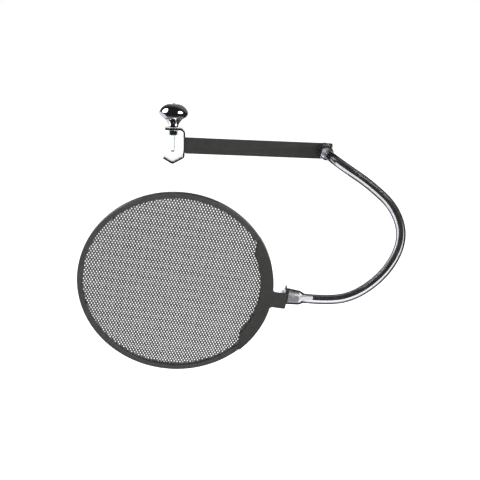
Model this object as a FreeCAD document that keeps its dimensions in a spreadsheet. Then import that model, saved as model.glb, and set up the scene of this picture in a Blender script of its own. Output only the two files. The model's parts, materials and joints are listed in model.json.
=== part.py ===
import FreeCAD, Part
import math
import os

from FreeCAD import Placement, Rotation, Vector

# Pop filter for a microphone stand: a clamp, a flat arm, a sleeved gooseneck and a round mesh screen.
# Frame: +X along the arm, +Z up the clamp screw, +Y away from the person who speaks.
# The origin is the axis of a 16 mm stand tube that lies in the clamp's V.

SIZES = {
    # clamp bracket, one strip bent to shape
    "stand_radius": 8.0,
    "strip_thick": 1.5,
    "strip_width": 12.7,
    "strip_bend": 2.5,
    "vee_bend": 1.0,
    "vee_slope": 30.0,
    "vee_reach": 7.2,
    "wall_inner": 8.1,
    "leg_reach": 6.5,
    "leg_under": 16.15,
    "leg_hole": 2.1,
    # clamp screw and knob
    "boss_radius": 4.0,
    "boss_drop": 4.35,
    "boss_bore": 2.05,
    "screw_radius": 2.0,
    "screw_low": -0.5,
    "screw_high": 36.0,
    "screw_chamfer": 0.4,
    "pip_radius": 1.5,
    "pip_rise": 1.0,
    "pip_round": 0.9,
    "tip_bore": 1.0,
    "tip_bore_depth": 3.0,
    "tip_stem": 0.97,
    "tip_stem_length": 2.9,
    "tip_radius": 1.6,
    "tip_length": 1.2,
    "tip_round": 0.4,
    "tip_gap": 0.03,
    "knob_low": 18.2,
    "knob_top": 36.3,
    "knob_radius": 11.8,
    "knob_neck": 4.0,
    # arm
    "arm_thick": 2.0,
    "arm_height": 12.7,
    "arm_middle": 4.8,
    "arm_start": 10.0,
    "arm_end": 128.2,
    "arm_corner": 1.0,
    "ear_height": 12.6,
    "ear_end": 26.0,
    "ear_bend": 2.0,
    "rivet_radius": 1.6,
    "rivet_head": 3.0,
    "rivet_head_depth": 1.2,
    "rivet_tail": 2.6,
    "rivet_tail_height": 0.9,
    "rivet_first": 15.0,
    "rivet_pitch": 6.0,
    # end fittings of the gooseneck, the same at both ends
    "fitting_inset": 6.3,
    "bolt_radius": 2.0,
    "bolt_reach": 5.2,
    "bolt_hole": 2.2,
    "bolt_head": 4.4,
    "bolt_head_height": 2.6,
    "bolt_head_round": 1.17,
    "drive_radius": 1.6,
    "drive_depth": 1.4,
    "back_washer_radius": 6.6,
    "back_washer_thick": 1.0,
    "front_washer_radius": 6.1,
    "front_washer_thick": 1.0,
    "ferrule_radius": 6.0,
    "ferrule_mouth": 5.2,
    "ferrule_length": 9.0,
    "ferrule_round": 0.6,
    "socket_radius": 2.05,
    "socket_round": 0.4,
    "socket_depth": 4.3,
    "socket_gap": 0.1,
    # gooseneck
    "core_radius": 2.0,
    "sleeve_bore": 3.1,
    "sleeve_radius": 3.8,
    "sleeve_wall": 0.5,
    "sleeve_lap": 0.05,
    "sleeve_taper": 5.2,
    "joint_gap": 0.65,
    "no_gap": 0.0,
    "ball_gap": 0.15,
    "neck_base_reach": 23.75,
    "neck_tip_reach": 28.0,
    "bend_share": 0.45,
    # screen, in its own frame: Z is the face's normal and X runs along the tab
    "screen_radius": 76.2,
    "rim_inner": 72.0,
    "rim_thick": 4.8,
    "rim_wall": 0.8,
    "rim_corner": 0.8,
    "rim_lip_gap": 0.4,
    "rim_split": 0.5,
    "mesh_radius": 74.6,
    "mesh_thick": 0.3,
    "plate_thick": 1.0,
    "plate_inner": 66.2,
    "plate_inner_half": 31.5,
    "plate_step_radius": 73.6,
    "plate_half": 40.0,
    "plate_step_slant": 0.6,
    "tab_width": 13.4,
    "tab_reach": 88.0,
    "tab_fillet": 2.0,
    "flange_lead": 0.5,
    "flange_bend": 1.0,
    "flange_depth": 16.3,
    "neck_behind": 6.5,
    "screen_x": 5.3,
    "screen_y": -49.8,
    "screen_z": -97.3,
    "screen_lean": 7.4,
    "screen_yaw": -2.6,
    "tab_angle": 6.3,
}

# The gooseneck's hand-set bend: the corners of its route between its two straight ends.
NECK_CORNERS = [
    Vector(132.9, -45.0, -1.8),
    Vector(153.0, -45.2, -14.0),
    Vector(174.5, -45.5, -32.0),
    Vector(183.5, -45.8, -57.0),
    Vector(172.5, -46.0, -85.0),
    Vector(147.5, -46.3, -106.0),
]

X, Y, Z = Vector(1, 0, 0), Vector(0, 1, 0), Vector(0, 0, 1)

doc = FreeCAD.newDocument("PopFilter")
sheet = doc.addObject("Spreadsheet::Sheet", "Sizes")


def store(alias, number):
    """Adds one named size to the sheet."""
    row = store.row = store.row + 1
    sheet.set(f"A{row}", alias)
    sheet.set(f"B{row}", repr(float(number)))
    sheet.setAlias(f"B{row}", alias)
    SIZES[alias] = float(number)


store.row = 0
for alias, number in list(SIZES.items()):
    store(alias, number)
doc.recompute()


def size(alias):
    """Reads one size from the sheet."""
    return float(sheet.get(alias))


subparts = []


def finish(shape_object, label, placement=None):
    """Gives a sub-part its name and place."""
    shape_object.Label = label
    if placement is not None:
        shape_object.Placement = placement
    subparts.append(shape_object)
    return shape_object


def bind(target, **properties):
    """Binds properties to cells of the sheet: each value is an expression of their aliases."""
    for name, expression in properties.items():
        words = [f"Sizes.{word}" if word in SIZES else word for word in expression.split()]
        target.setExpression(name, " ".join(words))
    return target


def primitive(kind, name, placement=None, **properties):
    made = bind(doc.addObject(f"Part::{kind}", name), **properties)
    if placement is not None:
        made.Placement = placement
    return made


def cut(name, base, tool):
    made = doc.addObject("Part::Cut", name)
    made.Base, made.Tool = base, tool
    return made


def fuse(name, shapes):
    made = doc.addObject("Part::MultiFuse", name)
    made.Shapes = shapes
    return made


def at(*xyz):
    return Placement(Vector(*xyz), Rotation())


def axes(origin, along_z, along_x):
    """A placement whose Z and X axes point as given."""
    return Placement(origin, Rotation(along_x, along_z.cross(along_x), along_z, "ZXY"))


def rounded(points):
    """Closed outline of lines and arcs from corners (x, y, radius), as sketch geometry."""
    corners = [(Vector(x, y, 0), radius) for x, y, radius in points]
    ends = []
    for i, (corner, radius) in enumerate(corners):
        before, after = corners[i - 1][0], corners[(i + 1) % len(corners)][0]
        back, ahead = (before - corner).normalize(), (after - corner).normalize()
        if not radius:
            ends.append((corner, None, corner))
            continue
        half = back.getAngle(ahead) / 2
        reach = radius / math.tan(half)
        middle = corner + (back + ahead).normalize() * (radius / math.sin(half) - radius)
        ends.append((corner + back * reach, middle, corner + ahead * reach))
    drawn = []
    for i, (start, middle, end) in enumerate(ends):
        if middle is not None:
            drawn.append(Part.Arc(start, middle, end))
        following = ends[(i + 1) % len(ends)][0]
        if (following - end).Length > 1e-6:
            drawn.append(Part.LineSegment(end, following))
    return drawn


def strip(path, thick, bends):
    """Corners of a bent strip's edge outline, from its middle line and inner bend radii."""
    line = [Vector(x, y, 0) for x, y in path]
    sides = {1: [], -1: []}
    for i, point in enumerate(line):
        before = (point - line[i - 1]).normalize() if i else None
        after = (line[i + 1] - point).normalize() if i + 1 < len(line) else None
        for side in sides:
            across = [Z.cross(way) * side for way in (before, after) if way is not None]
            mitre = (across[0] + across[-1]).normalize()
            shifted = point + mitre * (thick / 2 / mitre.dot(across[0]))
            radius = 0.0
            if before is not None and after is not None:
                inside = before.cross(after).z * side > 0
                radius = bends[i - 1] + (0.0 if inside else thick)
            sides[side].append((shifted.x, shifted.y, radius))
    return sides[1] + sides[-1][::-1]


def sketch(body, plane, geometry, offset=0.0):
    """Draws geometry on one of the body's own origin planes, moved along its normal."""
    drawn = body.newObject("Sketcher::SketchObject", "Sketch")
    origin_plane = next(f for f in body.Origin.OriginFeatures if f.Role == plane)
    drawn.AttachmentSupport = [(origin_plane, "")]
    drawn.MapMode = "FlatFace"
    drawn.AttachmentOffset = at(0, 0, offset)
    drawn.addGeometry(geometry, False)
    return drawn


def circles(centres, radius):
    return [Part.Circle(Vector(x, y, 0), Z, radius) for x, y in centres]


def pad(body, profile, both_sides=False, **properties):
    made = body.newObject("PartDesign::Pad", "Pad")
    made.Profile = profile
    made.Midplane = both_sides
    return bind(made, **properties)


def pocket(body, profile, depth, reversed_way=False):
    """Cuts a pocket, and stops the build if it removes nothing."""
    doc.recompute()
    before = body.Shape.Volume
    made = body.newObject("PartDesign::Pocket", "Pocket")
    made.Profile = profile
    made.Reversed = reversed_way
    made.Length = depth
    doc.recompute()
    if body.Shape.Volume > before - 1e-3:
        raise RuntimeError(f"a pocket of {body.Label} cuts nothing")


def new_body(name):
    return doc.addObject("PartDesign::Body", name)


def turned(label, geometry, placement=None):
    """A turned piece: an outline in X (radius) and Y (height) revolved round the Z axis."""
    body = new_body(label)
    revolution = body.newObject("PartDesign::Revolution", "Revolution")
    profile = sketch(body, "XZ_Plane", geometry)
    revolution.Profile = profile
    revolution.ReferenceAxis = (profile, ["V_Axis"])
    revolution.Angle = 360.0
    return finish(body, label, placement)


def disc_with_hole(label, placement, outer, inner, thick):
    """A washer: one cylinder cut by another, with its sizes bound to the sheet."""
    plate = primitive("Cylinder", f"{label}_outer", Radius=outer, Height=thick)
    hole = primitive("Cylinder", f"{label}_hole", Radius=inner, Height=thick)
    return finish(cut(label, plate, hole), label, placement)


# ---------------------------------------------------------------- clamp


def clamp_bracket():
    """Nickel-plated strip: top leg, wall and a V for the stand, with an ear folded out for the arm."""
    thick, wall = size("strip_thick"), size("wall_inner")
    slope = math.radians(size("vee_slope"))
    vee_low = -size("stand_radius") / math.cos(slope)
    middle_x = wall + thick / 2
    leg_z = size("leg_under") + thick / 2
    drop = thick / 2 / math.cos(slope)
    vee_side = size("vee_reach") * math.tan(slope)
    path = [
        (-size("leg_reach"), leg_z),
        (middle_x, leg_z),
        (middle_x, vee_low - drop + middle_x * math.tan(slope)),
        (0.0, vee_low - drop),
        (-size("vee_reach"), vee_low - drop + vee_side),
    ]
    body = new_body("clamp_bracket")
    bends = [size("strip_bend"), size("vee_bend"), size("vee_bend")]
    edge = sketch(body, "XZ_Plane", rounded(strip(path, thick, bends)))
    pad(body, edge, both_sides=True, Length="strip_width")

    front = -size("strip_width") / 2
    ear_low = size("arm_middle") - size("ear_height") / 2
    ear_high = ear_low + size("ear_height")
    inside, outside = wall - thick, middle_x + thick
    relief = [(inside, ear_low), (outside, ear_low), (outside, ear_high), (inside, ear_high)]
    notch = rounded([(x, z, 0) for x, z in relief])
    pocket(body, sketch(body, "XZ_Plane", notch, -front), size("ear_bend"))
    ear = strip(
        [(middle_x, 0.0), (middle_x, front + thick / 2), (size("ear_end"), front + thick / 2)],
        thick,
        [size("ear_bend") - thick],
    )
    pad(body, sketch(body, "XY_Plane", rounded(ear), ear_low), Length="ear_height")

    hole = circles([(0, 0)], size("leg_hole"))
    pocket(body, sketch(body, "XY_Plane", hole, leg_z + thick), 2 * thick)
    rivets = circles(rivet_places(), size("rivet_radius"))
    pocket(body, sketch(body, "XZ_Plane", rivets, -front), 2 * thick)
    return finish(body, "clamp_bracket")


def rivet_places():
    first, step = size("rivet_first"), size("rivet_pitch")
    return [(first, size("arm_middle")), (first + step, size("arm_middle"))]


def clamp_boss():
    """Threaded boss staked under the top leg."""
    low = size("leg_under") - size("boss_drop")
    disc_with_hole("clamp_boss", at(0, 0, low), "boss_radius", "boss_bore", "boss_drop")


def clamp_screw():
    """Screw from the thrust tip's bore up through the knob, where its end is peened to a pip."""
    low, high = size("screw_low"), size("screw_high")
    radius, bore = size("screw_radius"), size("tip_bore")
    chamfer, pip, rise = size("screw_chamfer"), size("pip_radius"), size("pip_rise")
    bore_top = low + size("tip_bore_depth")
    outline = rounded(
        [
            (bore, low, 0),
            (radius - chamfer, low, 0),
            (radius, low + chamfer, 0),
            (radius, high, 0),
            (pip, high, 0),
            (pip, high + rise, size("pip_round")),
            (0, high + rise, 0),
            (0, bore_top, 0),
            (bore, bore_top, 0),
        ]
    )
    turned("clamp_screw", outline)


def screw_tip():
    """Thrust tip that presses on the stand and lets the screw turn above it."""
    top = size("screw_low") - size("tip_gap")
    stem, button = size("tip_stem"), size("tip_radius")
    low = top - size("tip_length")
    outline = rounded(
        [
            (0, low, 0),
            (button, low, size("tip_round")),
            (button, top, 0),
            (stem, top, 0),
            (stem, top + size("tip_stem_length"), 0),
            (0, top + size("tip_stem_length"), 0),
        ]
    )
    turned("screw_tip", outline)


def clamp_knob():
    """Mushroom knob: narrow neck, flared underside, thin band at the widest place and a domed top."""
    low, top, wide = size("knob_low"), size("knob_top"), size("knob_radius")
    neck, bore = size("knob_neck"), size("screw_radius")

    def share(of_radius, of_height):
        return Vector(of_radius * wide, low + of_height * (top - low), 0)

    neck_foot, neck_top = Vector(neck, low, 0), Vector(neck, share(0, 0.06).y, 0)
    waist, flare, shoulder = share(0.50, 0.25), share(0.76, 0.40), share(0.935, 0.50)
    band_low, band_high, crown = share(1.0, 0.60), share(1.0, 0.66), share(0.66, 0.915)
    bore_top, bore_foot = Vector(bore, top, 0), Vector(bore, low, 0)
    outline = [
        Part.LineSegment(bore_foot, neck_foot),
        Part.LineSegment(neck_foot, neck_top),
        Part.Arc(neck_top, waist, flare),
        Part.Arc(flare, shoulder, band_low),
        Part.LineSegment(band_low, band_high),
        Part.Arc(band_high, crown, bore_top),
        Part.LineSegment(bore_top, bore_foot),
    ]
    turned("clamp_knob", outline)


# ---------------------------------------------------------------- arm


def arm_front():
    return -size("strip_width") / 2 - size("arm_thick")


def arm_bar():
    """Flat steel bar with two countersunk rivet holes and the gooseneck's bolt hole."""
    low = size("arm_middle") - size("arm_height") / 2
    high, corner = low + size("arm_height"), size("arm_corner")
    start, end = size("arm_start"), size("arm_end")
    body = new_body("arm_blank")
    outline = rounded(
        [(start, low, 0), (end, low, corner), (end, high, corner), (start, high, 0)]
    )
    pad(body, sketch(body, "XZ_Plane", outline, size("strip_width") / 2), Length="arm_thick")
    bolt = circles([(end - size("fitting_inset"), size("arm_middle"))], size("bolt_hole"))
    rivets = circles(rivet_places(), size("rivet_radius"))
    deep = 2 * size("arm_thick")
    pocket(body, sketch(body, "XZ_Plane", bolt + rivets, size("strip_width") / 2 + deep), deep)
    sinks = [
        primitive(
            "Cone",
            "countersink",
            axes(Vector(x, arm_front(), z), Y, X),
            Radius1="rivet_head",
            Radius2="rivet_radius",
            Height="rivet_head_depth",
        )
        for x, z in rivet_places()
    ]
    finish(cut("arm_bar", body, fuse("countersinks", sinks)), "arm_bar")


def arm_rivets():
    """Two flush-headed rivets that hold the bar on the bracket's ear."""
    made = []
    for x, z in rivet_places():
        place = axes(Vector(x, arm_front(), z), Y, X)
        tail_start = size("arm_thick") + size("strip_thick")
        head = primitive(
            "Cone",
            "rivet_head",
            place,
            Radius1="rivet_head",
            Radius2="rivet_radius",
            Height="rivet_head_depth",
        )
        shank = primitive(
            "Cylinder",
            "rivet_shank",
            place,
            Radius="rivet_radius",
            Height="arm_thick + strip_thick",
        )
        tail = primitive(
            "Cone",
            "rivet_tail",
            place * at(0, 0, tail_start),
            Radius1="rivet_tail",
            Radius2="rivet_radius",
            Height="rivet_tail_height",
        )
        made.append(fuse("rivet", [head, shank, tail]))
    group = doc.addObject("Part::Compound", "arm_rivets")
    group.Links = made
    finish(group, "arm_rivets")


# ---------------------------------------------------------------- end fittings


def end_fitting(end, place, held_thick):
    """Bolt, washers and ferrule on a plate held_thick thick, whose outer face is local Z = 0."""
    back = place * at(0, 0, -held_thick - size("back_washer_thick"))
    disc_with_hole(
        f"neck_{end}_back_washer", back, "back_washer_radius", "bolt_hole", "back_washer_thick"
    )
    disc_with_hole(
        f"neck_{end}_washer", place, "front_washer_radius", "bolt_hole", "front_washer_thick"
    )

    head, head_height = size("bolt_head"), size("bolt_head_height")
    shank, shank_end = size("bolt_radius"), size("bolt_reach")
    drive, drive_depth = size("drive_radius"), size("drive_depth")
    under_head = -held_thick - size("back_washer_thick")
    head_top = under_head - head_height
    outline = rounded(
        [
            (0, head_top + drive_depth, 0),
            (drive, head_top + drive_depth, 0),
            (drive, head_top, 0),
            (head, head_top, size("bolt_head_round")),
            (head, under_head, 0),
            (shank, under_head, 0),
            (shank, shank_end, 0),
            (0, shank_end, 0),
        ]
    )
    turned(f"neck_{end}_bolt", outline, place)

    low = size("front_washer_thick")
    mouth_z = low + size("ferrule_length")
    socket_floor = mouth_z - size("socket_depth")
    wide, mouth = size("ferrule_radius"), size("ferrule_mouth")
    socket = size("socket_radius")
    outline = rounded(
        [
            (shank, low, 0),
            (wide, low, 0),
            (mouth, mouth_z, size("ferrule_round")),
            (socket, mouth_z, size("socket_round")),
            (socket, socket_floor, 0),
            (shank, socket_floor, 0),
        ]
    )
    turned(f"neck_{end}_ferrule", outline, place)


def base_place():
    centre = Vector(size("arm_end") - size("fitting_inset"), arm_front(), size("arm_middle"))
    return axes(centre, -Y, X)


def screen_place():
    """The screen's frame: its face leans and its tab dips, as the gooseneck holds it."""
    facing = Rotation(Z, size("screen_yaw")) * Rotation(X, 90 + size("screen_lean"))
    turn = facing * Rotation(Z, -size("tab_angle"))
    centre = Vector(size("screen_x"), size("screen_y"), size("screen_z"))
    return Placement(centre, turn)


def tip_place():
    local = axes(Vector(size("tab_reach"), 0, -size("neck_behind")), X, Y)
    return screen_place() * local


# ---------------------------------------------------------------- gooseneck


def neck_route():
    """Corner points from the floor of one ferrule's socket to the other's."""
    ends = []
    for place, reach in (
        (base_place(), "neck_base_reach"),
        (tip_place(), "neck_tip_reach"),
    ):
        floor = size("front_washer_thick") + size("ferrule_length") - size("socket_depth")
        start = floor + size("socket_gap")
        ends.append((place.multVec(Z * start), place.multVec(Z * size(reach))))
    (base_end, first), (tip_end, last) = ends
    return [base_end, first, *NECK_CORNERS, last, tip_end]


def neck_joints(route):
    """Joint centres: the middles of the runs between corners."""
    return [(a + b) * 0.5 for a, b in zip(route[1:-2], route[2:-1])]


def link_sizes(number, start, corner, end, run_in, run_out):
    """Stores a link's arc and straight lengths in the sheet and returns its frame."""
    way_in, way_out = (corner - start).normalize(), (end - corner).normalize()
    turn = way_in.getAngle(way_out)
    reach = size("bend_share") * min(run_in, run_out)
    store(f"neck_{number}_turn", math.degrees(turn))
    store(f"neck_{number}_bend", reach / math.tan(turn / 2))
    store(f"neck_{number}_in", (corner - start).Length - reach)
    store(f"neck_{number}_out", (end - corner).Length - reach)
    sheet.recompute()
    normal = way_in.cross(way_out).normalize()
    return axes(start, normal, way_in)


def bent_rod(name, number, radius, trim_in, trim_out):
    """Straight, arc, straight: along local X, then turning towards local Y."""
    turn = size(f"neck_{number}_turn")
    bend = size(f"neck_{number}_bend")
    length_in = size(f"neck_{number}_in")
    angle = math.radians(turn)
    leave = Vector(length_in + bend * math.sin(angle), bend * (1 - math.cos(angle)), 0)
    way_out = Vector(math.cos(angle), math.sin(angle), 0)
    entry = primitive(
        "Cylinder",
        f"{name}_in",
        axes(X * size(trim_in), X, Y),
        Radius=radius,
        Height=f"neck_{number}_in - {trim_in}",
    )
    arc = primitive(
        "Torus",
        f"{name}_arc",
        Placement(Vector(length_in, bend, 0), Rotation(Z, -90)),
        Radius1=f"neck_{number}_bend",
        Radius2=radius,
        Angle3=f"neck_{number}_turn",
    )
    out = primitive(
        "Cylinder",
        f"{name}_out",
        axes(leave, way_out, Z),
        Radius=radius,
        Height=f"neck_{number}_out - {trim_out}",
    )
    straight_out = size(f"neck_{number}_out")
    return [entry, arc, out], leave + way_out * straight_out


def neck_link(number, place, is_first, is_last):
    """One link of the gooseneck: a core with a ball at its far end, and a sleeve round it."""
    pieces, far = bent_rod(f"core_{number}", number, "core_radius", "no_gap", "no_gap")
    if not is_last:
        pieces.append(primitive("Sphere", f"ball_{number}", at(*far), Radius="core_radius"))
    core = fuse(f"core_solid_{number}", pieces)
    if not is_first:
        hollow = primitive("Sphere", f"seat_{number}", Radius="core_radius + ball_gap")
        core = cut(f"core_seated_{number}", core, hollow)
    finish(core, f"neck_core_{number}", place)

    trims = ("no_gap" if is_first else "joint_gap", "no_gap" if is_last else "joint_gap")
    outer, far = bent_rod(f"skin_{number}", number, "sleeve_radius", *trims)
    inner, far = bent_rod(f"bore_{number}", number, "sleeve_bore", *trims)
    angle = math.radians(size(f"neck_{number}_turn"))
    way_back = -Vector(math.cos(angle), math.sin(angle), 0)
    flared_ends = []
    if is_first:
        flared_ends.append(axes(Vector(), X, Y))
    if is_last:
        flared_ends.append(axes(far, way_back, Z))
    for flare_place in flared_ends:
        outer_cones, inner_cones = flare(number, flare_place)
        outer += outer_cones
        inner += inner_cones
    sleeve = cut(
        f"sleeve_{number}",
        fuse(f"sleeve_skin_{number}", outer),
        fuse(f"sleeve_bore_{number}", inner),
    )
    finish(sleeve, f"neck_sleeve_{number}", place)


def flare(number, place):
    """Cones that widen a sleeve's end over its ferrule; local Z runs out of the socket's floor."""
    foot = size("sleeve_lap") + size("socket_depth") - size("ferrule_length") - size("socket_gap")
    seat = place * at(0, 0, foot)
    taper = place * at(0, 0, foot + size("ferrule_length"))
    outer = [
        primitive(
            "Cone",
            f"flare_skin_{number}",
            seat,
            Radius1="ferrule_radius + sleeve_wall",
            Radius2="ferrule_mouth + sleeve_wall",
            Height="ferrule_length",
        ),
        primitive(
            "Cone",
            f"taper_skin_{number}",
            taper,
            Radius1="ferrule_mouth + sleeve_wall",
            Radius2="sleeve_radius",
            Height="sleeve_taper",
        ),
    ]
    inner = [
        primitive(
            "Cone",
            f"flare_bore_{number}",
            seat,
            Radius1="ferrule_radius + sleeve_lap",
            Radius2="ferrule_mouth + sleeve_lap",
            Height="ferrule_length",
        ),
        primitive(
            "Cone",
            f"taper_bore_{number}",
            taper,
            Radius1="ferrule_mouth + sleeve_lap",
            Radius2="sleeve_bore",
            Height="sleeve_taper",
        ),
    ]
    return outer, inner


def gooseneck():
    route = neck_route()
    joints = neck_joints(route)
    stations = [route[0], *joints, route[-1]]
    runs = [(b - a).Length for a, b in zip(route, route[1:])]
    last = len(stations) - 2
    for number in range(last + 1):
        start, corner, end = stations[number], route[number + 1], stations[number + 1]
        place = link_sizes(number, start, corner, end, runs[number], runs[number + 1])
        neck_link(number, place, number == 0, number == last)
    length = sum(
        size(f"neck_{i}_in")
        + size(f"neck_{i}_out")
        + size(f"neck_{i}_bend") * math.radians(size(f"neck_{i}_turn"))
        for i in range(last + 1)
    )
    print(f"gooseneck length {length:.1f} mm")
    for i, joint in enumerate(joints):
        way = (route[i + 2] - route[i + 1]).normalize()
        print(f"joint {i + 1} at", [round(v, 3) for v in joint], "along", [round(v, 4) for v in way])


# ---------------------------------------------------------------- screen


def arc_points(radius, start, end):
    """Start, middle and end of an arc round the screen's centre, with angles in degrees."""
    angles = [math.radians(a) for a in (start, (start + end) / 2, end)]
    return [Vector(radius * math.cos(a), radius * math.sin(a), 0) for a in angles]


def crescent(with_tab):
    """Outline of a plate that lies along the rim, with stepped ends and, in front, the tab."""
    half, inner_half = size("plate_half"), size("plate_inner_half")
    outer, inner = size("screen_radius"), size("plate_inner")
    step = size("plate_step_radius")
    low_end, high_end = arc_points(outer, -half, half)[::2]
    step_half = half - size("plate_step_slant")
    low_step, high_step = arc_points(step, -step_half, step_half)[::2]
    inside = arc_points(inner, inner_half, -inner_half)
    outline = [
        Part.LineSegment(high_end, high_step),
        Part.LineSegment(high_step, inside[0]),
        Part.Arc(*inside),
        Part.LineSegment(inside[2], low_step),
        Part.LineSegment(low_step, low_end),
    ]
    if not with_tab:
        return outline + [Part.Arc(*arc_points(outer, -half, half))]
    width, fillet, end = size("tab_width") / 2, size("tab_fillet"), tab_straight_end()
    centre_y = width + fillet
    centre_x = math.sqrt((outer + fillet) ** 2 - centre_y**2)
    touch = math.degrees(math.atan2(centre_y, centre_x))
    for side in (-1, 1):
        rim_point = arc_points(outer, side * touch, side * half)
        middle = Vector(centre_x, side * centre_y, 0)
        towards = (Vector(0, -side, 0) + (rim_point[0] - middle).normalize()).normalize()
        foot = Vector(centre_x, side * width, 0)
        outline += [
            Part.Arc(*rim_point),
            Part.Arc(rim_point[0], middle + towards * fillet, foot),
            Part.LineSegment(foot, Vector(end, side * width, 0)),
        ]
    outline.append(Part.LineSegment(Vector(end, -width, 0), Vector(end, width, 0)))
    return outline


def tab_straight_end():
    """Where the tab's flat outline ends and the folded flange's strip begins."""
    return size("tab_reach") - size("plate_thick") - size("flange_bend") - size("flange_lead")


def mount_plate():
    """Front crescent with a tab whose end is folded back to carry the gooseneck."""
    thick, front = size("plate_thick"), size("rim_thick") / 2
    body = new_body("mount_plate")
    pad(body, sketch(body, "XY_Plane", crescent(True), front), Length="plate_thick")
    middle_z, middle_x = front + thick / 2, size("tab_reach") - thick / 2
    path = [
        (tab_straight_end(), middle_z),
        (middle_x, middle_z),
        (middle_x, front + thick - size("flange_depth")),
    ]
    edge = rounded(strip(path, thick, [size("flange_bend")]))
    pad(body, sketch(body, "XZ_Plane", edge), both_sides=True, Length="tab_width")
    hole = circles([(0, -size("neck_behind"))], size("bolt_hole"))
    pocket(body, sketch(body, "YZ_Plane", hole, size("tab_reach") + thick), 3 * thick)
    finish(body, "mount_plate", screen_place())


def back_plate():
    """Rear crescent behind the rim."""
    body = new_body("back_plate")
    behind = -size("rim_thick") / 2 - size("plate_thick")
    pad(body, sketch(body, "XY_Plane", crescent(False), behind), Length="plate_thick")
    finish(body, "back_plate", screen_place())


def rim_channel():
    """Rolled rim: a box section whose slit grips the mesh, with its ends under the tab."""
    outer, inner, half = size("screen_radius"), size("rim_inner"), size("rim_thick") / 2
    wall, corner, slit = size("rim_wall"), size("rim_corner"), size("rim_lip_gap") / 2
    profile = rounded(
        [
            (inner, slit, 0),
            (inner, half, corner / 2),
            (outer, half, corner),
            (outer, -half, corner),
            (inner, -half, corner / 2),
            (inner, -slit, 0),
            (inner + wall, -slit, 0),
            (inner + wall, wall - half, 0),
            (outer - wall, wall - half, 0),
            (outer - wall, half - wall, 0),
            (inner + wall, half - wall, 0),
            (inner + wall, slit, 0),
        ]
    )
    body = new_body("rim_blank")
    revolution = body.newObject("PartDesign::Revolution", "Revolution")
    section = sketch(body, "XZ_Plane", profile)
    revolution.Profile = section
    revolution.ReferenceAxis = (section, ["V_Axis"])
    revolution.Angle = 360.0
    split = primitive(
        "Box",
        "rim_split_cut",
        at(inner - 1, -size("rim_split") / 2, -size("rim_thick")),
        Length="screen_radius - rim_inner + 2",
        Width="rim_split",
        Height="2 * rim_thick",
    )
    finish(cut("rim_channel", body, split), "rim_channel", screen_place())


def screen_mesh():
    """The stretched-metal disc, as a plain sheet of the same mass."""
    place = screen_place() * at(0, 0, -size("mesh_thick") / 2)
    disc = primitive("Cylinder", "screen_mesh", place, Radius="mesh_radius", Height="mesh_thick")
    finish(disc, "screen_mesh")


# ---------------------------------------------------------------- build

clamp_bracket()
clamp_boss()
clamp_screw()
screw_tip()
clamp_knob()
arm_bar()
arm_rivets()
end_fitting("base", base_place(), size("arm_thick"))
end_fitting("tip", tip_place(), size("plate_thick"))
gooseneck()
rim_channel()
screen_mesh()
mount_plate()
back_plate()
doc.recompute()

for thing in doc.Objects:
    if {"Invalid", "Error"} & set(thing.State):
        raise RuntimeError(f"{thing.Label} failed: {thing.State}")
for piece in subparts:
    if piece.Shape.isNull() or not piece.Shape.isValid():
        raise RuntimeError(f"{piece.Label} has no valid shape")

os.makedirs("parts", exist_ok=True)
for piece in subparts:
    piece.Shape.exportStep(f"parts/{piece.Label}.step")
    print(piece.Label, len(piece.Shape.Solids), round(piece.Shape.Volume, 1))
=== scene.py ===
import json
import math

import bmesh
import bpy
from mathutils import Matrix, Vector


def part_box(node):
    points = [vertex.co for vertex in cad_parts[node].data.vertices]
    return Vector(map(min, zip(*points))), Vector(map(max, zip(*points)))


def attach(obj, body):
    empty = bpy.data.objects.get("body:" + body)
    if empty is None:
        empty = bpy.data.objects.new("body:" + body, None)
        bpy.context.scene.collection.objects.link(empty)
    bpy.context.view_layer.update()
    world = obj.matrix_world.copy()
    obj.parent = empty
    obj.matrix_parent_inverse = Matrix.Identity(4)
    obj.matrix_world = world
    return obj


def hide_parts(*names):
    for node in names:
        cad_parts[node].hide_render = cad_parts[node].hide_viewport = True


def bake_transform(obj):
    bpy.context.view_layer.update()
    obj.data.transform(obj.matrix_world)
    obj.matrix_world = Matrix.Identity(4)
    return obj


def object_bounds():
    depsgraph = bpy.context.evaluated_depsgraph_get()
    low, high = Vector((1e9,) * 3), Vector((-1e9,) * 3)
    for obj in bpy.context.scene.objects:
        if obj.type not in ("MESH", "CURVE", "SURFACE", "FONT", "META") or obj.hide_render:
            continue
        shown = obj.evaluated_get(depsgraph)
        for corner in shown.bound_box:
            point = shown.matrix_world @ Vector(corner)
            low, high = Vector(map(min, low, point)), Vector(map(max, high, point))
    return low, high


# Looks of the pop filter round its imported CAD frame: nickel clamp, chrome knob, enamelled arm and
# screen, stretched-metal mesh, and a ribbed gooseneck in a clear vinyl sleeve.
# Frame: +X along the arm, +Z up the clamp screw, +Y away from the person who speaks.

MM = 0.001
SHARP, SHEET_SHARP = 30.0, 24.0  # degrees over which an edge stays crisp
X, Y, Z = Vector((1, 0, 0)), Vector((0, 1, 0)), Vector((0, 0, 1))

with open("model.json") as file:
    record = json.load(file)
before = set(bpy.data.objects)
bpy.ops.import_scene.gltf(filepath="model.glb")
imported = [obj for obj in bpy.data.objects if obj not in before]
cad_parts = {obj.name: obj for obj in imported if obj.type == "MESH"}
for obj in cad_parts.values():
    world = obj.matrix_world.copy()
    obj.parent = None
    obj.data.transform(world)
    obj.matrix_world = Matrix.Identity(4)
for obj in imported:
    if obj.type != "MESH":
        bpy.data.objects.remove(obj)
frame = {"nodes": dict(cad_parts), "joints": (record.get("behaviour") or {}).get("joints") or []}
cad_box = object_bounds()


# ---------------------------------------------------------------- places from the frame


def middle(node):
    """Middle of a CAD node's box."""
    low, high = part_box(node)
    return (low + high) / 2


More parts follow.
